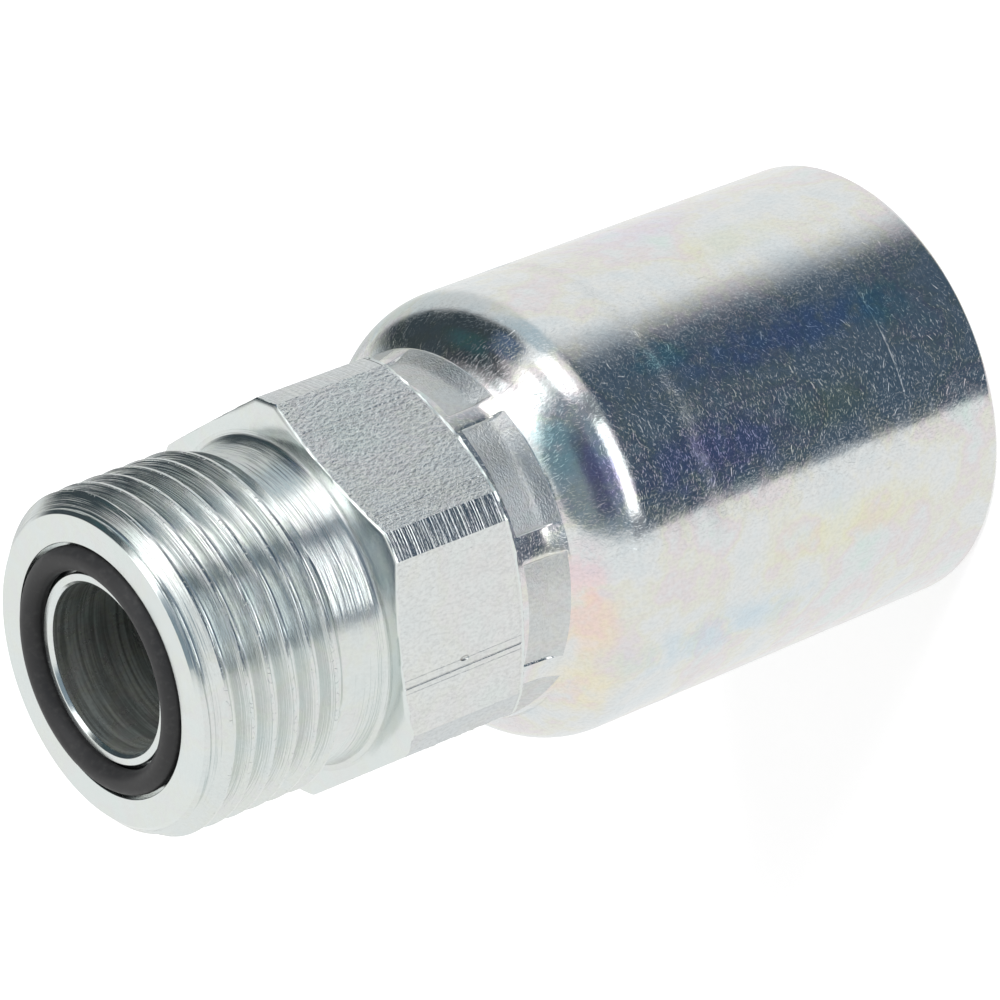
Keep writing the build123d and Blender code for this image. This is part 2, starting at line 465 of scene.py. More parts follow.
# %% The nipple's grid behind the thread
hexagon_grid = np.stack([from_polar(radius, nipple_angles, height) for radius, height in hexagon_rows()])
relief_grid = lathe(relief_outline, nipple_angles)
back_grid = np.concatenate((relief_grid, hexagon_grid, lathe(stem_outline, nipple_angles)))
back_slots = np.full((len(back_grid) - 1, len(nipple_angles)), TURNED)
first_side_row = len(relief_outline) + 3
side_rows = len(SIDE_SHARES) + len(FINE_GROOVE) - 1
back_slots[first_side_row : first_side_row + side_rows] = np.where(corner_columns, CORNER, FLAT)
back_slots[: len(relief_outline) - 2] = THREAD
face_slots = np.full((len(face_grid) - 1, len(nipple_angles)), TURNED)
face_slots[: len(bore_heights)] = BORE
print("rows from the relief to the stem's tip:", len(back_grid))

# %% [markdown]
# ## The crimp shell
# The shell is a cup of steel, pressed to shape and then staked: eight tools pushed its neck into the groove
# of the collar, and each left a pad with a floor, a ramp at its lower end and a narrow ridge to the next pad.
# The tools weren't all set alike, so every pad has its own two edges, in degrees. The columns fall on the
# walls of the pads, and floor, ramp and walls are real surfaces that catch the light.

# %% Columns that fit the pads
PAD_EDGES = [(-8.7, 29.3), (34.7, 73.6), (80.4, 118.5), (126.0, 164.0)]
PAD_EDGES += [(171.0, 208.6), (215.8, 253.9), (261.0, 299.5), (307.3, 343.5)]
WALL_DEGREES = 1.1
FLOOR_COLUMNS = 31
RIDGE_COLUMNS = 8
WALL_STEPS = [(0.2, 0.04), (0.4, 0.3), (0.6, 0.7), (0.8, 0.96)]


def pad_columns():
    """Angles of the shell's columns, and how deep each lies in its pad, from 0 on a ridge to 1 on a floor."""
    columns = []
    for pad, (start, end) in enumerate(PAD_EDGES):
        next_start = PAD_EDGES[(pad + 1) % len(PAD_EDGES)][0] + (360 if pad == len(PAD_EDGES) - 1 else 0)
        columns += [(start + share * WALL_DEGREES, depth) for share, depth in WALL_STEPS]
        floor = np.linspace(start + WALL_DEGREES, end - WALL_DEGREES, FLOOR_COLUMNS)
        columns += [(angle, 1.0) for angle in floor]
        columns += [(end - share * WALL_DEGREES, depth) for share, depth in reversed(WALL_STEPS)]
        columns += [(angle, 0.0) for angle in np.linspace(end, next_start, RIDGE_COLUMNS)]
    angles, depths = np.array(columns).T
    return np.radians(angles), depths


shell_angles, pad_share = pad_columns()
print("columns round the shell:", len(shell_angles))

# %% [markdown]
# The outside is a straight cylinder only at first sight. Pressing left a faint ring below the shoulder, and
# there is a scribed ring near the open end that fades out on its way round. Such small waves bend the
# reflections, so they belong in the mesh. The neck narrows quickly from the shoulder to a waist and then
# slowly to the hexagon. A logarithm of exponentials rounds the bend at the waist without any extra points.

# %% Outside of the shell
shoulder_radius = 6.2
neck_face_radius = 13.35
neck_root_radius = 13.9
neck_root_z = shell_top_z - 4.4
shoulder_centre_radius = shell_radius - shoulder_radius
shoulder_rise = math.sqrt(shoulder_radius**2 - (neck_root_radius - shoulder_centre_radius) ** 2)
shoulder_centre_z = neck_root_z - shoulder_rise
pad_rim_z = shell_top_z - 0.6
pad_depth = 0.2
scribe_z = 8.1
scribe_depth = 0.008
pressed_ring_z = 27.0
pressed_ring_height = 0.012
pressed_ring_half = 0.5
rim_radius = 0.4


def cylinder_radius(height):
    """Radius of the shell at heights on its cylinder, with the faint wave that pressing left."""
    wave = np.exp(-(((height - pressed_ring_z) / pressed_ring_half) ** 2))
    return shell_radius + pressed_ring_height * wave


def cylinder_rows():
    """Rows up the cylinder, close together at the scribed ring."""
    heights = np.concatenate(
        (np.linspace(0.9, scribe_z - 0.3, 5), scribe_z + np.array((-0.06, -0.02, 0.02, 0.06)))
    )
    heights = np.concatenate((heights, np.linspace(scribe_z + 0.3, 23, 8), np.linspace(24, 32.6, 18)))
    scribe = scribe_depth * np.clip((26 - abs(np.degrees(shell_angles) - 4)) / 12, 0, 1)
    rows = []
    for height in heights:
        in_groove = 1.0 if abs(height - scribe_z) < 0.05 else 0.0
        radius = cylinder_radius(height) - scribe * in_groove
        rows.append(from_polar(radius, shell_angles, height))
    return rows


def shoulder_rows():
    """Rows up the shoulder's arc to the neck's root."""
    rows = []
    for angle in np.linspace(0.02, math.asin(shoulder_rise / shoulder_radius), 28):
        radius = shoulder_centre_radius + shoulder_radius * math.cos(angle)
        height = shoulder_centre_z + shoulder_radius * math.sin(angle)
        rows.append(from_polar(radius, shell_angles, height))
    return rows


# %% Neck of the shell
NECK_SLOPE = 0.055
BEND = 0.12
NECK_STEPS = [0.5, 1, 1.08, 1.2, 1.4, 1.6, 1.75, 1.87, 1.95, 2, 2.05, 2.12, 2.22, 2.4, 2.6, 2.8, 2.93]
NECK_STEPS += [2.96, 2.98, 3, 3.1, 3.5, 3.85, 3.95]


def around(table):
    """Values for the shell's columns from a table of angles in degrees and values."""
    degrees = (np.degrees(shell_angles) + 100) % 360 - 100
    return np.interp(degrees, *zip(*table), period=360)


foot_heights = [(-99, 1.4), (-80, 1.2), (-61, 0.15), (-52, 0.5), (-17, 0.2), (-8, 0.08), (80, 0.08)]
pad_foot_z = neck_root_z + around(foot_heights)
waist_z = neck_root_z + around([(-17, 1.6), (-9, 1.45), (29, 1.1), (35, 1.45), (74, 1.6)])


def beyond_waist(height):
    """How far heights lie below the waist, with the bend rounded."""
    return BEND * np.logaddexp(0, (waist_z - height) / BEND)


def neck_rows():
    """Rows up the neck. Steps 0 to 4 are its root, the pads' foot, the waist, the pads' rim and the face."""
    rows = []
    waist_radius = neck_face_radius + NECK_SLOPE * (shell_top_z - waist_z)
    flare_slope = (neck_root_radius - waist_radius) / (waist_z - neck_root_z)
    level = np.ones_like(waist_z)
    marks = [level * neck_root_z, pad_foot_z, waist_z, level * pad_rim_z, level * shell_top_z]
    for step in NECK_STEPS:
        low = int(step)
        height = marks[low] + (step - low) * (marks[min(low + 1, 4)] - marks[low])
        radius = neck_face_radius + NECK_SLOPE * (shell_top_z - height)
        radius = radius + (flare_slope - NECK_SLOPE) * beyond_waist(height)
        sunk = 1 - beyond_waist(height) / (waist_z - pad_foot_z)
        sunk = np.clip(sunk, 0, 1) * np.interp(height, (pad_rim_z - 0.08, pad_rim_z), (1, 0))
        rows.append(from_polar(radius - pad_depth * pad_share * sunk, shell_angles, height))
    rows.append(from_polar(neck_face_radius - 0.05, shell_angles, shell_top_z))
    return rows


# %% [markdown]
# The inside has the gripping rings that bite into the hose, a rounded floor and the bore of the neck. A
# column there is the same all round, so a plain outline is enough. Outside and inside make one closed grid.

# %% Inside of the shell
wall = 2.8
inner_radius = shell_radius - wall
grip_radius = inner_radius - 0.9
inner_floor_radius = 3.2
GRIP_COUNT = 6
GRIP_PITCH = 4.4
FIRST_GRIP_Z = 5.5
inside_outline = lock_groove + [(collar_radius, shell_top_z - 5.8)]
floor_centre = (inner_radius - inner_floor_radius, shell_top_z - 9.0)
inside_outline += arc_points(*floor_centre, inner_floor_radius, 90, 0, 6)
for grip in reversed(range(GRIP_COUNT)):
    grip_start = FIRST_GRIP_Z + GRIP_PITCH * grip
    inside_outline += [
        (inner_radius, grip_start + 1.8),
        (grip_radius, grip_start + 1.3),
        (grip_radius, grip_start + 0.5),
        (inner_radius, grip_start),
    ]
inside_row_count = len(inside_outline)
inside_outline += rounded_outline(
    [
        (inner_radius, 3, 0),
        (inner_radius, 0.8, 0.2),
        (inner_radius + 0.8, 0, 0.15),
        (shell_radius, 0, rim_radius),
        (shell_radius, 0.9, 0),
    ],
    steps=4,
)[:-1]

# %% Build the shell's grid
OUTSIDE, STAKED, INSIDE = range(3)
outside_rows = cylinder_rows() + shoulder_rows()
neck_grid = neck_rows()
shell_grid = np.concatenate((outside_rows, neck_grid, lathe(inside_outline, shell_angles)))
shell_slots = np.full((len(shell_grid), len(shell_angles)), OUTSIDE)
pad_start = len(outside_rows) + NECK_STEPS.index(1)
pad_end = len(outside_rows) + NECK_STEPS.index(3)
shell_slots[pad_start:pad_end] = np.where(pad_share > 0.5, STAKED, OUTSIDE)
inside_start = len(outside_rows) + len(neck_grid)
shell_slots[inside_start : inside_start + inside_row_count - 1] = INSIDE
print("rows along the shell:", len(shell_grid))

# %% [markdown]
# ## The rubber ring
# A rubber ring is a torus, apart from the narrow flat where it is pressed on the groove's floor and the faint
# flash line that its mould leaves round its outside. So its section is a circle of points that are held
# above the floor, with a tiny bump at the flash line.

# %% Section of the ring
ring_section_radius = 0.89
ring_centre_radius = (lip_radius + groove_radius) / 2
ring_centre_z = ring_high.z - ring_section_radius
ring_angles = np.radians(np.arange(0, 360, 2.0))
flash_degrees = 60
flash_height = 0.012
ring_outline = []
for degrees in range(0, 360, 10):
    turn = math.radians(degrees)
    flash = flash_height if degrees == flash_degrees else 0.0
    reach = ring_section_radius + flash
    height = max(ring_centre_z + reach * math.sin(turn), ring_low.z)
    ring_outline.append((ring_centre_radius + reach * math.cos(turn), height))
ring_grid = lathe(ring_outline, ring_angles)
print("ring, inside diameter in mm:", round(2 * (ring_centre_radius - ring_section_radius), 2))

# %% [markdown]
# ## Helpers for node trees
# Shader trees are wires between nodes, which reads badly as code. A few helpers make one node and link it in
# a single line, and return the socket that carries the result.

# %% Node helpers
def new_node(tree, kind, **settings):
    """A new node of a kind, with its settings."""
    node = tree.nodes.new(kind)
    for name, value in settings.items():
        setattr(node, name, value)
    return node


def feed(tree, socket, value):
    """Link a socket to another one, or give it a plain value."""
    if isinstance(value, bpy.types.NodeSocket):
        tree.links.new(value, socket)
    else:
        socket.default_value = value


def calculate(tree, operation, *values):
    """The result of a Math node."""
    node = new_node(tree, "ShaderNodeMath", operation=operation)
    for socket, value in zip(node.inputs, values):
        feed(tree, socket, value)
    return node.outputs[0]


def vector_math(tree, operation, *values):
    """The vector that a Vector Math node gives."""
    node = new_node(tree, "ShaderNodeVectorMath", operation=operation)
    for socket, value in zip(node.inputs, values):
        feed(tree, socket, value)
    return node.outputs[0]


def ramp_between(tree, value, start, end, low=0.0, high=1.0):
    """A soft step from low to high as a value goes from start to end, or back where end is below start."""
    node = new_node(tree, "ShaderNodeMapRange", interpolation_type="SMOOTHSTEP")
    names = ("Value", "From Min", "From Max", "To Min", "To Max")
    for name, setting in zip(names, (value, start, end, low, high)):
        feed(tree, node.inputs[name], setting)
    return node.outputs["Result"]


def combine(tree, x, y, z):
    """A vector from three values."""
    node = new_node(tree, "ShaderNodeCombineXYZ")
    for socket, value in zip(node.inputs, (x, y, z)):
        feed(tree, socket, value)
    return node.outputs[0]


def separate(tree, vector):
    """The outputs X, Y and Z of a vector."""
    node = new_node(tree, "ShaderNodeSeparateXYZ")
    feed(tree, node.inputs[0], vector)
    return node.outputs


def vector_length(tree, vector):
    """The length of a vector."""
    node = new_node(tree, "ShaderNodeVectorMath", operation="LENGTH")
    feed(tree, node.inputs[0], vector)
    return node.outputs["Value"]


def noise(tree, vector, scale, detail=2.0, roughness=0.5):
    """The value of a noise texture."""
    node = new_node(tree, "ShaderNodeTexNoise")
    for name, setting in (("Vector", vector), ("Scale", scale), ("Detail", detail), ("Roughness", roughness)):
        feed(tree, node.inputs[name], setting)
    return node.outputs["Fac"]


def mixed(tree, blend, share, first, second):
    """The colour of a Mix node."""
    node = new_node(tree, "ShaderNodeMix", data_type="RGBA", blend_type=blend)
    feed(tree, node.inputs[0], share)
    feed(tree, node.inputs[6], first)
    feed(tree, node.inputs[7], second)
    return node.outputs[2]


def new_group(name, inputs, outputs):
    """A shader node group with named inputs (name, kind, default) and outputs (name, kind)."""
    tree = bpy.data.node_groups.new(name, "ShaderNodeTree")
    for label, kind, default in inputs:
        socket = tree.interface.new_socket(label, in_out="INPUT", socket_type="NodeSocket" + kind)
        if default is not None:
            socket.default_value = default
    for label, kind in outputs:
        tree.interface.new_socket(label, in_out="OUTPUT", socket_type="NodeSocket" + kind)
    print("group:", name, "gives", ", ".join(label for label, _ in outputs))
    given = tree.nodes.new("NodeGroupInput").outputs
    result = tree.nodes.new("NodeGroupOutput").inputs
    return tree, given, result


def use_group(tree, group, **values):
    """The outputs of a group that is placed in a tree with its values."""
    node = tree.nodes.new("ShaderNodeGroup")
    node.node_tree = group
    for name, value in values.items():
        feed(tree, node.inputs[name], value)
    return node.outputs


# %% [markdown]
# ## Where a point lies on the fitting
# Tool marks follow the axis, so their patterns need the fitting's own coordinates. One group gives them in
# millimetres: the point, the surface unrolled flat, and a turning coordinate that grows along every turned
# surface. Height alone would stand still on a face and radius alone on a cylinder. Height less 1.7 times
# the radius changes along both, and along both kinds of cone too.

# %% Group: place on the fitting
TURNING_SLOPE = -1.7

place_outputs = [("Point", "Vector"), ("Unrolled", "Vector")]
place_outputs += [(label, "Float") for label in ("Turning", "Angle", "Height", "Radius")]
place_group, given, result = new_group("Place on the fitting", [], place_outputs)
tree = place_group
coordinates = new_node(tree, "ShaderNodeTexCoord")
point = new_node(tree, "ShaderNodeVectorMath", operation="SCALE")
feed(tree, point.inputs[0], coordinates.outputs["Object"])
point.inputs["Scale"].default_value = 1 / MM
parts = separate(tree, point.outputs[0])
angle = calculate(tree, "ARCTAN2", parts["Y"], parts["X"])
square_x = calculate(tree, "MULTIPLY", parts["X"], parts["X"])
square = calculate(tree, "MULTIPLY_ADD", parts["Y"], parts["Y"], square_x)
radius = calculate(tree, "SQRT", square)
round_length = calculate(tree, "MULTIPLY", angle, shell_radius)
feed(tree, result["Point"], point.outputs[0])
feed(tree, result["Unrolled"], combine(tree, round_length, parts["Z"], 0.0))
feed(tree, result["Turning"], calculate(tree, "MULTIPLY_ADD", radius, TURNING_SLOPE, parts["Z"]))
feed(tree, result["Angle"], calculate(tree, "DEGREES", angle))
feed(tree, result["Height"], parts["Z"])
feed(tree, result["Radius"], radius)

# %% [markdown]
# ## Turning lines
# A cutting tool leaves fine rings. Noise that is squeezed along the turning coordinate and stretched round
# the axis gives lines of uneven depth, which fade in and out as real ones do. A Wave texture would be
# quicker, but its lines are all alike.

# %% Group: turning lines
ROUND_SHARE = 0.12

lines_group, given, result = new_group(
    "Turning lines",
    [("Spacing", "Float", 0.2), ("Depth", "Float", 0.002), ("Detail", "Float", 2.0)],
    [("Height", "Float")],
)
tree = lines_group
place = use_group(tree, place_group)
parts = separate(tree, place["Point"])
across = calculate(tree, "DIVIDE", place["Turning"], given["Spacing"])
slow_x = calculate(tree, "MULTIPLY", parts["X"], ROUND_SHARE)
slow_y = calculate(tree, "MULTIPLY", parts["Y"], ROUND_SHARE)
line_noise = noise(tree, combine(tree, across, slow_x, slow_y), 1.0, given["Detail"], 0.6)
feed(tree, result["Height"], calculate(tree, "MULTIPLY", line_noise, given["Depth"]))

# %% [markdown]
# ## Grain
# Plating and drawing leave a fine uneven skin. It is plain noise with a size and a depth in millimetres,
# which may be stretched along the axis.

# %% Group: grain
grain_group, given, result = new_group(
    "Grain",
    [("Size", "Float", 0.3), ("Depth", "Float", 0.002), ("Stretch", "Float", 1.0), ("Detail", "Float", 2.0)],
    [("Height", "Float"), ("Value", "Float")],
)
tree = grain_group
parts = separate(tree, use_group(tree, place_group)["Point"])
shorter = calculate(tree, "DIVIDE", parts["Z"], given["Stretch"])
squeezed = combine(tree, parts["X"], parts["Y"], shorter)
per_mm = calculate(tree, "DIVIDE", 1.0, given["Size"])
grain_value = noise(tree, squeezed, per_mm, given["Detail"], 0.55)
feed(tree, result["Height"], calculate(tree, "MULTIPLY", grain_value, given["Depth"]))
feed(tree, result["Value"], grain_value)

# %% [markdown]
# ## Short scratches
# Parts that are plated in a tumbling barrel knock against each other and get thousands of short marks in all
# directions. A Voronoi texture scatters one point to a cell and gives each cell a random colour. From these
# the group draws one stroke in each cell: the colour turns the stroke, bends it and decides whether it is
# there at all. A few layers of different sizes, laid over each other, look like the real thing.

# %% Group: short scratches
scratch_group, given, result = new_group(
    "Short scratches",
    [
        ("Spacing", "Float", 1.0),
        ("Length", "Float", 0.3),
        ("Width", "Float", 0.03),
        ("Depth", "Float", 0.003),
        ("Share", "Float", 0.7),
        ("Shift", "Float", 0.0),
    ],
    [("Height", "Float")],
)
tree = scratch_group
place = use_group(tree, place_group)
shift = combine(tree, given["Shift"], given["Shift"], 0.0)
moved = vector_math(tree, "ADD", place["Unrolled"], shift)
spacing = combine(tree, given["Spacing"], given["Spacing"], 1.0)
in_cells = vector_math(tree, "DIVIDE", moved, spacing)
cells = new_node(tree, "ShaderNodeTexVoronoi", voronoi_dimensions="2D")
cells.inputs["Scale"].default_value = 1.0
feed(tree, cells.inputs["Vector"], in_cells)
from_point = vector_math(tree, "SUBTRACT", in_cells, cells.outputs["Position"])
local = separate(tree, vector_math(tree, "MULTIPLY", from_point, spacing))
random = new_node(tree, "ShaderNodeSeparateColor")
feed(tree, random.inputs[0], cells.outputs["Color"])
turn = calculate(tree, "MULTIPLY", random.outputs["Red"], math.pi)
cosine = calculate(tree, "COSINE", turn)
sine = calculate(tree, "SINE", turn)
x_part = calculate(tree, "MULTIPLY", local["X"], cosine)
y_part = calculate(tree, "MULTIPLY", local["X"], sine)
along = calculate(tree, "MULTIPLY_ADD", local["Y"], sine, x_part)
aside = calculate(tree, "SUBTRACT", calculate(tree, "MULTIPLY", local["Y"], cosine), y_part)
bend = calculate(tree, "MULTIPLY_ADD", random.outputs["Green"], 1.2, -0.6)
bow = calculate(tree, "MULTIPLY", calculate(tree, "MULTIPLY", along, along), bend)
off_line = calculate(tree, "ABSOLUTE", calculate(tree, "ADD", aside, bow))
on_line = ramp_between(tree, off_line, given["Width"], 0.0)
fade_start = calculate(tree, "MULTIPLY", given["Length"], 0.5)
in_length = ramp_between(tree, calculate(tree, "ABSOLUTE", along), given["Length"], fade_start)
there = calculate(tree, "LESS_THAN", random.outputs["Blue"], given["Share"])
mask = calculate(tree, "MULTIPLY", calculate(tree, "MULTIPLY", on_line, in_length), there)
depth = calculate(tree, "MULTIPLY", given["Depth"], -1.0)
feed(tree, result["Height"], calculate(tree, "MULTIPLY", mask, depth))

# %% [markdown]
# ## Zinc film
# Bright zinc is sealed with a clear film so thin that light interferes in it, and it shows patches of faint
# yellow, pink and blue. The group multiplies the metal's colour by a soft pattern of these tints. The
# tints are close to white, and an amount sets how far they are taken.

# %% Group: zinc film
FILM_TINTS = [
    (0.0, (0.88, 0.95, 1.0, 1)),
    (0.38, (1.0, 1.0, 1.0, 1)),
    (0.5, (1.0, 0.98, 0.88, 1)),
    (0.6, (1.0, 0.91, 0.93, 1)),
    (0.72, (0.98, 0.98, 1.0, 1)),
    (1.0, (0.86, 1.0, 0.95, 1)),
]
film_group, given, result = new_group(
    "Zinc film",
    [("Metal", "Color", (0.8, 0.82, 0.82, 1)), ("Amount", "Float", 0.5), ("Size", "Float", 6.0)],
    [("Color", "Color")],
)
tree = film_group
place = use_group(tree, place_group)
per_mm = calculate(tree, "DIVIDE", 1.0, given["Size"])
film_noise = noise(tree, place["Point"], per_mm, 4.0, 0.6)
tints = new_node(tree, "ShaderNodeValToRGB")
spread = calculate(tree, "MULTIPLY_ADD", film_noise, 2.2, -0.6)
feed(tree, tints.inputs[0], spread)
stops = tints.color_ramp.elements
stops[0].position, stops[0].color = FILM_TINTS[0]
stops[1].position, stops[1].color = FILM_TINTS[-1]
for position, tint in FILM_TINTS[1:-1]:
    stops.new(position).color = tint
feed(tree, result["Color"], mixed(tree, "MULTIPLY", given["Amount"], given["Metal"], tints.outputs[0]))

# %% [markdown]
# ## Metal materials
# Every metal surface gets its own Principled shader with the same plan: zinc film in the colour, and heights
# in millimetres added up and sent through one Bump node. Its distance is one millimetre, so a depth of 0.002
# in a group is two thousandths of a millimetre, as a machinist would measure it.

# %% Start and finish of a material
def new_material(name):
    """A material, its node tree and its Principled shader."""
    material = bpy.data.materials.new(name)
    material.use_nodes = True
    tree = material.node_tree
    shader = next(node for node in tree.nodes if node.type == "BSDF_PRINCIPLED")
    print("material:", name)
    return material, tree, shader


def raise_surface(tree, shader, heights):
    """Heights in mm, added up and sent to the shader's normal."""
    total = heights[0]
    for height in heights[1:]:
        total = calculate(tree, "ADD", total, height)
    bump = new_node(tree, "ShaderNodeBump")
    bump.inputs["Strength"].default_value = 1.0
    bump.inputs["Distance"].default_value = MM
    feed(tree, bump.inputs["Height"], total)
    feed(tree, shader.inputs["Normal"], bump.outputs["Normal"])


def lines(tree, spacing, depth, detail=3.0):
    """The height of turning lines."""
    return use_group(tree, lines_group, Spacing=spacing, Depth=depth, Detail=detail)["Height"]


def grain(tree, size, depth, stretch=1.0, detail=2.0):
    """The height of grain."""
    return use_group(tree, grain_group, Size=size, Depth=depth, Stretch=stretch, Detail=detail)["Height"]


def scratches(tree, *values):
    """The height of a layer of short scratches: spacing, length, width and depth in mm, share and shift."""
    names = ("Spacing", "Length", "Width", "Depth", "Share", "Shift")
    return use_group(tree, scratch_group, **dict(zip(names, values)))["Height"]


def zinc(tree, shader, metal, film_amount, film_size, roughness, roughness_spread, speckle=0.06):
    """The colour and the uneven roughness of zinc. Speckle is how much its fine grain darkens it."""
    film = use_group(tree, film_group, Metal=(*metal, 1), Amount=film_amount, Size=film_size)
    fine = use_group(tree, grain_group, Size=0.22, Stretch=1.5, Detail=3.0)["Value"]
    grey = ramp_between(tree, fine, 0.3, 0.62, 1 - 2 * speckle, 1.0)
    coloured = vector_math(tree, "MULTIPLY", film["Color"], combine(tree, grey, grey, grey))
    feed(tree, shader.inputs["Base Color"], coloured)
    shader.inputs["Metallic"].default_value = 1.0
    cloud = use_group(tree, grain_group, Size=1.4, Detail=3.0)["Value"]
    low, high = roughness - roughness_spread, roughness + roughness_spread
    feed(tree, shader.inputs["Roughness"], ramp_between(tree, cloud, 0.3, 0.7, low, high))


# %% [markdown]
# Turned surfaces: the seal face and the cones carry fine rings. Thread and relief are rougher, and the crests
# have nicks from knocking about in the barrel.

# %% Materials: turned zinc and thread
turned_zinc, tree, shader = new_material("turned_zinc")
zinc(tree, shader, (0.78, 0.825, 0.815), 0.25, 5.0, 0.19, 0.04, speckle=0.01)
raise_surface(tree, shader, [lines(tree, 0.2, 0.003), grain(tree, 0.4, 0.001)])

turned_thread, tree, shader = new_material("turned_thread")
zinc(tree, shader, (0.76, 0.8, 0.79), 0.3, 5.0, 0.2, 0.04, speckle=0.02)
place = use_group(tree, place_group)
nicks = scratches(tree, 0.5, 0.25, 0.04, 0.02, 0.7, 11.0)
on_crest = ramp_between(tree, place["Radius"], thread_radius - 0.15, thread_radius - 0.04)
heights = [lines(tree, 0.28, 0.045, detail=2.0), lines(tree, 0.1, 0.014, detail=1.0), grain(tree, 0.3, 0.003)]
raise_surface(tree, shader, heights + [calculate(tree, "MULTIPLY", nicks, on_crest)])

# %% [markdown]
# Drawn flats: the bar was drawn to its six sides before anything was turned, which left a crinkled skin and a
# few straight lines along it. The skin is smoother on one side of the bar than on the other. One small pit
# lies low on the flat that faces the camera. A line in the table is its angle in degrees, then its half width
# and its depth in millimetres.

# %% Material: drawn flats
DRAW_LINES = [(46.4, 0.1, 0.06), (44.3, 0.07, 0.035), (42.8, 0.06, 0.03), (31, 0.07, 0.015)]
DRAW_LINES += [(11.9, 0.09, 0.05), (11.0, 0.06, 0.03), (10.0, 0.05, 0.03), (8.7, 0.05, 0.02)]
DRAW_LINES += [(-39.9, 0.08, 0.05), (-37.5, 0.05, 0.012), (-41.5, 0.05, 0.012), (76, 0.07, 0.03)]
DRAW_LINES += [(108, 0.08, 0.04), (142, 0.1, 0.05), (-95, 0.08, 0.04), (-112, 0.06, 0.03)]
DRAW_LINES += [(-159, 0.09, 0.05), (171, 0.07, 0.03)]
PIT_ANGLE = -37.5
PIT_Z = face_z - 21.25
PIT_SQUASH = 0.45
PIT_DEPTH = 0.2
MM_PER_DEGREE = 0.235

drawn_flats, tree, shader = new_material("drawn_flats")
zinc(tree, shader, (0.78, 0.805, 0.8), 0.25, 7.0, 0.22, 0.05, speckle=0.05)
place = use_group(tree, place_group)
skin = grain(tree, 0.24, 0.1, stretch=1.6, detail=4.0)
heights = [
    calculate(tree, "MULTIPLY", skin, ramp_between(tree, place["Angle"], -4.0, 4.0, 0.4, 1.0)),
    grain(tree, 1.1, 0.03, stretch=2.5),
]
for line_angle, width, depth in DRAW_LINES:
    away = calculate(tree, "ABSOLUTE", calculate(tree, "SUBTRACT", place["Angle"], line_angle))
    away_mm = calculate(tree, "MULTIPLY", away, math.radians(1) * hex_flat_radius)
    heights.append(ramp_between(tree, away_mm, width, 0.0, 0.0, -depth))
degrees_off = calculate(tree, "SUBTRACT", place["Angle"], PIT_ANGLE)
across_pit = calculate(tree, "MULTIPLY", degrees_off, MM_PER_DEGREE)
along_pit = calculate(tree, "MULTIPLY", calculate(tree, "SUBTRACT", place["Height"], PIT_Z), PIT_SQUASH)
from_pit = vector_length(tree, combine(tree, across_pit, along_pit, 0.0))
heights.append(ramp_between(tree, from_pit, 0.2, 0.08, 0.0, -PIT_DEPTH))
raise_surface(tree, shader, heights)

# %% [markdown]
# Corner bands: the blank was turned with a coarse feed before the cones were cut, and its rings cross the
# narrow bands as strong light and dark stripes.

# %% Material: turned corners
turned_corners, tree, shader = new_material("turned_corners")
zinc(tree, shader, (0.67, 0.7, 0.71), 0.25, 5.0, 0.18, 0.04)
raise_surface(tree, shader, [lines(tree, 0.2, 0.045, detail=2.0), grain(tree, 0.3, 0.02, detail=3.0)])

# %% [markdown]
# The bore was drilled, so its marks are coarser and its film is dull and greenish.

# %% Material: drilled bore
drilled_bore, tree, shader = new_material("drilled_bore")
zinc(tree, shader, (0.56, 0.6, 0.58), 0.6, 3.0, 0.3, 0.05)
shader.inputs["Metallic"].default_value = 0.85
# Painted reflection: the rings lighten and darken the bore's colour in bands, standing in for the light they
# catch.
rings = lines(tree, 0.3, 1.0)
shade = ramp_between(tree, rings, 0.35, 0.65, 0.6, 1.2)
streaked = shader.inputs["Base Color"].links[0].from_socket
streaked = vector_math(tree, "MULTIPLY", streaked, combine(tree, shade, shade, shade))
feed(tree, shader.inputs["Base Color"], streaked)
raise_surface(tree, shader, [lines(tree, 0.35, 0.03), grain(tree, 0.3, 0.004)])

# %% [markdown]
# The shell was plated in a barrel, so it has the most film colour and all the scratches. Its film is bluer,
# greener or more salmon in places, and each such cloud has an angle and a height on the shell, a half width
# in degrees, a half length in millimetres and a tint. The faint ring that pressing left is rubbed dull. A
# scratch layer is its spacing, length, width and depth in millimetres, its share of filled cells and a shift.

# %% Material: shell zinc
FILM_CLOUDS = [
    (16.0, 16.0, 7.0, 11.0, (0.62, 0.76, 1.1)),
    (22.0, 26.5, 5.0, 3.5, (0.62, 0.95, 1.0)),
    (15.0, 7.0, 7.0, 3.5, (0.66, 0.96, 0.98)),
    (12.0, 37.0, 12.0, 1.4, (0.75, 0.97, 0.98)),
    (0.0, 35.2, 12.0, 1.4, (0.8, 0.76, 1.05)),
    (-5.0, 26.0, 10.0, 8.0, (0.74, 0.72, 1.05)),
    (-4.0, 15.0, 7.0, 5.0, (0.98, 1.0, 0.84)),
    (-35.0, 15.0, 8.0, 9.0, (1.02, 1.0, 0.86)),
    (-53.0, 27.0, 8.0, 11.0, (0.88, 0.96, 1.02)),
    (-24.0, 37.8, 10.0, 1.8, (1.1, 0.9, 0.92)),
    (-40.0, 37.4, 13.0, 2.0, (1.1, 0.95, 0.86)),
    (-62.0, 37.0, 14.0, 2.5, (1.08, 1.01, 0.88)),
    (70.0, 17.0, 12.0, 9.0, (0.96, 0.94, 1.02)),
    (48.0, 14.0, 7.0, 6.0, (1.0, 0.99, 0.88)),
    (100.0, 33.0, 30.0, 9.0, (0.93, 1.0, 1.0)),
    (160.0, 20.0, 30.0, 12.0, (1.0, 0.96, 0.93)),
    (-120.0, 24.0, 25.0, 14.0, (0.95, 0.97, 1.0)),
]
RUBBED_ROUGHER = 0.1

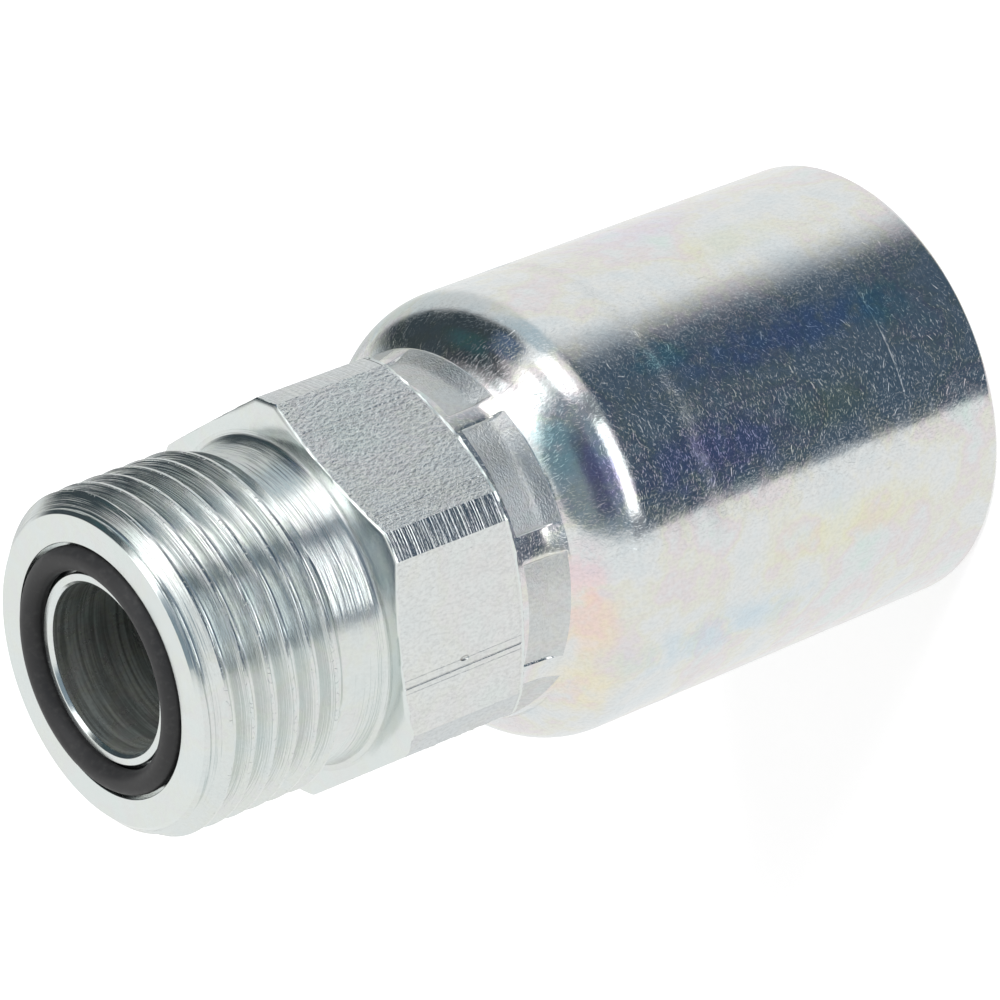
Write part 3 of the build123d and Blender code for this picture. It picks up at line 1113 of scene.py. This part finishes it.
shell_zinc, tree, shader = new_material("shell_zinc")
zinc(tree, shader, (0.79, 0.81, 0.81), 0.85, 6.5, 0.14, 0.04, speckle=0.035)
tinted = shader.inputs["Base Color"].links[0].from_socket
place = use_group(tree, place_group)
patchy = use_group(tree, grain_group, Size=1.6, Detail=4.0)["Value"]
ragged = calculate(tree, "MULTIPLY_ADD", patchy, 3.0, -1.1)
for angle, height, half_width, half_length, tint in FILM_CLOUDS:
    aside = calculate(tree, "DIVIDE", calculate(tree, "SUBTRACT", place["Angle"], angle), half_width)
    along = calculate(tree, "DIVIDE", calculate(tree, "SUBTRACT", place["Height"], height), half_length)
    from_cloud = vector_length(tree, combine(tree, aside, along, ragged))
    share = ramp_between(tree, from_cloud, 1.25, 0.35)
    tinted = mixed(tree, "MULTIPLY", share, tinted, (*tint, 1))
feed(tree, shader.inputs["Base Color"], tinted)
from_ring = calculate(tree, "ABSOLUTE", calculate(tree, "SUBTRACT", place["Height"], pressed_ring_z))
rubbed = ramp_between(tree, calculate(tree, "MULTIPLY_ADD", ragged, 0.8, from_ring), 1.5, 0.1)
smooth_metal = shader.inputs["Roughness"].links[0].from_socket
feed(tree, shader.inputs["Roughness"], calculate(tree, "MULTIPLY_ADD", rubbed, RUBBED_ROUGHER, smooth_metal))
SCRATCH_LAYERS = [(0.28, 0.13, 0.014, 0.0022, 0.85, 0.0), (0.36, 0.17, 0.014, 0.0021, 0.8, 31.0)]
SCRATCH_LAYERS += [(0.5, 0.22, 0.016, 0.0024, 0.7, 57.0), (1.7, 0.4, 0.026, 0.005, 0.4, 83.0)]
heights = [grain(tree, 0.22, 0.005), grain(tree, 3.5, 0.03)]
heights += [scratches(tree, *layer) for layer in SCRATCH_LAYERS]
rubs = scratches(tree, 0.32, 0.22, 0.018, 0.0045, 0.95, 111.0)
raise_surface(tree, shader, heights + [calculate(tree, "MULTIPLY", rubs, rubbed)])

# %% [markdown]
# The staked pads were rubbed by the tools, so they are rougher and their grain runs round the axis. The
# shell's inside is plated too, but duller.

# %% Materials: staked pads and inside
staked_zinc, tree, shader = new_material("staked_zinc")
zinc(tree, shader, (0.69, 0.71, 0.71), 0.35, 3.0, 0.34, 0.05, speckle=0.06)
fine_grain = grain(tree, 0.24, 0.045, stretch=0.5, detail=3.0)
raise_surface(tree, shader, [fine_grain, grain(tree, 0.8, 0.02, stretch=1.5)])

inner_zinc, tree, shader = new_material("inner_zinc")
zinc(tree, shader, (0.68, 0.71, 0.7), 0.4, 4.0, 0.34, 0.05)
raise_surface(tree, shader, [lines(tree, 0.4, 0.01)])

# %% [markdown]
# Rubber isn't metal: it is nearly black, with a broad soft sheen and a very fine grain.

# %% Material: seal rubber
seal_rubber, tree, shader = new_material("seal_rubber")
dust = use_group(tree, grain_group, Size=0.5, Detail=4.0)["Value"]
dusty = ramp_between(tree, dust, 0.45, 0.8)
dusted = mixed(tree, "MIX", dusty, (0.022, 0.022, 0.023, 1), (0.04, 0.04, 0.04, 1))
feed(tree, shader.inputs["Base Color"], dusted)
feed(tree, shader.inputs["Roughness"], ramp_between(tree, dust, 0.2, 0.8, 0.42, 0.58))
shader.inputs["Specular IOR Level"].default_value = 0.38
raise_surface(tree, shader, [grain(tree, 0.12, 0.002)])

# %% [markdown]
# ## Build the pieces
# Each grid becomes an object that stands for its CAD node and rides on the same body.

# %% Build the nipple, the shell and the ring
def stand_for(piece, node):
    """The piece takes the CAD node's place and its body."""
    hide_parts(node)
    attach(piece, "root")


nipple_visual = grid_object(
    "nipple_visual",
    [
        patch(face_grid, face_slots),
        patch(thread_rows, THREAD, closed_columns=False),
        patch(back_grid, back_slots),
    ],
    [turned_zinc, drawn_flats, turned_corners, drilled_bore, turned_thread],
    sharp_degrees=22,
)
stand_for(nipple_visual, "nipple")

shell_visual = grid_object(
    "shell_visual",
    [patch(shell_grid, shell_slots, closed_rows=True)],
    [shell_zinc, staked_zinc, inner_zinc],
)
stand_for(shell_visual, "shell")

o_ring_visual = grid_object("o_ring_visual", [patch(ring_grid, 0, closed_rows=True)], [seal_rubber])
stand_for(o_ring_visual, "o_ring")

# %% [markdown]
# ## Floor
# The floor is a plain pale sheet. It is a diffuse surface that catches the shadow, and for the camera alone a
# little light is added, so that it comes out white without more light on the fitting. Polished metal doesn't
# reflect the sheet itself but the studio around it, which the world stands for.

# %% Floor
FLOOR_HALF_SIDE = 4.0
FLOOR_GREY = 0.8
FLOOR_GLOW = 0.5


def build_floor():
    """A wide pale floor under the fitting."""
    mesh = bpy.data.meshes.new("floor")
    corners = [(x * FLOOR_HALF_SIDE, y * FLOOR_HALF_SIDE, 0) for x, y in ((-1, -1), (1, -1), (1, 1), (-1, 1))]
    mesh.from_pydata(corners, [], [(0, 1, 2, 3)])
    floor = bpy.data.objects.new("floor", mesh)
    bpy.context.scene.collection.objects.link(floor)
    floor.visible_glossy = False
    material = bpy.data.materials.new("pale_floor")
    material.use_nodes = True
    tree = material.node_tree
    tree.nodes.clear()
    matt = new_node(tree, "ShaderNodeBsdfDiffuse")
    matt.inputs["Color"].default_value = (FLOOR_GREY, FLOOR_GREY, FLOOR_GREY, 1)
    glow = new_node(tree, "ShaderNodeEmission")
    paths = new_node(tree, "ShaderNodeLightPath")
    for_camera = calculate(tree, "MULTIPLY", paths.outputs["Is Camera Ray"], FLOOR_GLOW)
    feed(tree, glow.inputs["Strength"], for_camera)
    both = new_node(tree, "ShaderNodeAddShader")
    output = new_node(tree, "ShaderNodeOutputMaterial")
    tree.links.new(matt.outputs[0], both.inputs[0])
    tree.links.new(glow.outputs[0], both.inputs[1])
    tree.links.new(both.outputs[0], output.inputs["Surface"])
    mesh.materials.append(material)


build_floor()
print("side of the floor in m:", 2 * FLOOR_HALF_SIDE)

# %% [markdown]
# ## The studio that the metal sees
# Bright metal has hardly any colour of its own: what it shows is the room. The photographed fitting lay in a
# white tent with a strong window of light on one side and a gap for the camera, and these make the
# light and dark bands along it. Here the world paints the same room by direction: azimuth round the fitting
# and height above the horizon, in degrees. Each patch is four azimuths (where it starts and is full, where
# it starts to end and is gone), four heights likewise, and a colour. Only mirror-like rays see the
# patches. The camera sees white, and diffuse surfaces get an even pale light.

# %% World
STUDIO = [
    ("tent gap below the camera", (-35, -32, 50, 82), (-88, -70, -28, -22), (0.07, 0.105, 0.15)),
    ("shade under the window", (58, 68, 88, 104), (-32, -27, -12, -6), (0.52, 0.6, 0.64)),
    ("shade under the dark side", (86, 104, 170, 179), (-36, -26, -13, -6), (0.68, 0.7, 0.7)),
    ("frame of the table edge", (-34, -31, 36, 42), (-28, -23, -8, -5), (0.25, 0.27, 0.3)),
    ("camera side of the tent", (-33, -26, 38, 48), (-9, -6, 70, 82), (0.22, 0.28, 0.33)),
    ("camera and its stand", (-24, -16, 18, 30), (6, 14, 28, 38), (0.1, 0.125, 0.18)),
    ("bright table edge", (-24, -19, 19, 25), (-25, -20, -9, -6), (2.4, 2.4, 2.4)),
    ("dark side of the room", (66, 82, 142, 156), (-12, -4, 38, 62), (0.045, 0.06, 0.07)),
    ("blue side of the room", (66, 72, 80, 90), (-4, 2, 18, 28), (0.1, 0.15, 0.24)),
    ("teal side of the room", (84, 92, 104, 116), (10, 18, 28, 36), (0.04, 0.09, 0.1)),
    ("key window", (45, 50, 59, 69), (14, 22, 55, 69), (2.2, 2.2, 2.2)),
    ("upper part of the key window", (55, 63, 76, 88), (40, 50, 62, 72), (2.2, 2.2, 2.2)),
    ("upper corner of the key window", (74, 86, 110, 130), (50, 60, 74, 86), (2.2, 2.2, 2.2)),
    ("lower corner of the key window", (36, 43, 58, 65), (-17, -12, 2, 9), (2.2, 2.2, 2.2)),
]
TENT_WHITE = (0.93, 0.93, 0.92, 1)
EVEN_LIGHT = (0.62, 0.62, 0.62, 1)


def soft_band(tree, value, edges):
    """1 between the inner two of four edges, falling softly to 0 at the outer two."""
    rise = ramp_between(tree, value, edges[0], edges[1])
    fall = ramp_between(tree, value, edges[3], edges[2])
    return calculate(tree, "MULTIPLY", rise, fall)


def build_world():
    """The studio for mirror-like rays, white for the camera, and an even light for everything else."""
    world = bpy.data.worlds.new("studio")
    bpy.context.scene.world = world
    world.use_nodes = True
    tree = world.node_tree
    tree.nodes.clear()
    direction = separate(tree, new_node(tree, "ShaderNodeTexCoord").outputs["Generated"])
    azimuth = calculate(tree, "DEGREES", calculate(tree, "ARCTAN2", direction["Y"], direction["X"]))
    height = calculate(tree, "DEGREES", calculate(tree, "ARCSINE", direction["Z"]))
    seen = TENT_WHITE
    for _, azimuths, heights, colour in STUDIO:
        in_both = (soft_band(tree, azimuth, azimuths), soft_band(tree, height, heights))
        share = calculate(tree, "MULTIPLY", *in_both)
        seen = mixed(tree, "MIX", share, seen, (*colour, 1))
    rays = new_node(tree, "ShaderNodeLightPath").outputs
    even = mixed(tree, "MIX", rays["Is Glossy Ray"], EVEN_LIGHT, seen)
    straight = calculate(tree, "MAXIMUM", rays["Is Camera Ray"], rays["Is Transmission Ray"])
    background = new_node(tree, "ShaderNodeBackground")
    feed(tree, background.inputs["Color"], mixed(tree, "MIX", straight, even, (1, 1, 1, 1)))
    output = new_node(tree, "ShaderNodeOutputWorld")
    tree.links.new(background.outputs[0], output.inputs["Surface"])


build_world()
print("patches in the studio:", len(STUDIO))

# %% [markdown]
# One large soft lamp stands where the bright window is. It lights the rubber and the floor. The
# metal already sees the window in the world, so the lamp stays out of mirror-like rays.

# %% Key lamp
def build_key_lamp():
    """A large soft lamp towards the bright window."""
    azimuth = math.radians(47)
    height = math.radians(35)
    distance = 0.7
    aim = Vector((0, 0, 0.035))
    level = math.cos(height)
    toward = Vector((math.cos(azimuth) * level, math.sin(azimuth) * level, math.sin(height)))
    light = bpy.data.lights.new("key_lamp", "AREA")
    light.shape = "SQUARE"
    light.size = 0.4
    light.energy = 4.5
    lamp = bpy.data.objects.new("key_lamp", light)
    bpy.context.scene.collection.objects.link(lamp)
    lamp.location = toward * distance + aim
    lamp.rotation_euler = toward.to_track_quat("Z", "Y").to_euler()
    lamp.visible_glossy = False
    print("key lamp, side in m and power in W:", round(light.size, 2), light.energy)


build_key_lamp()

# %% [markdown]
# ## Camera
# The camera's place, length and roll were fitted to the photograph's ellipses: face, thread, hexagon and
# shell. It looks down at about 34 degrees and is rolled by a little more than a right angle, so that the
# standing fitting seems to lie down with its thread to the left.

# %% Camera
CAMERA_PLACE = Vector((359.8, 0.0, 279.0)) * MM
CAMERA_TARGET = Vector((0.0, 0.971, 32.96)) * MM
CAMERA_ROLL = -111.32
CAMERA_LENS = 217.9


def build_camera():
    """The camera at the photograph's angle."""
    data = bpy.data.cameras.new("camera")
    data.lens = CAMERA_LENS
    data.sensor_width = 36
    camera = bpy.data.objects.new("camera", data)
    bpy.context.scene.collection.objects.link(camera)
    aim = (CAMERA_PLACE - CAMERA_TARGET).to_track_quat("Z", "Y").to_matrix().to_4x4()
    roll = Matrix.Rotation(math.radians(CAMERA_ROLL), 4, "Z")
    camera.matrix_world = Matrix.Translation(CAMERA_PLACE) @ aim @ roll
    bpy.context.scene.camera = camera


build_camera()
bpy.context.scene.view_settings.view_transform = "Standard"
print("lens in mm and roll in degrees:", CAMERA_LENS, CAMERA_ROLL)
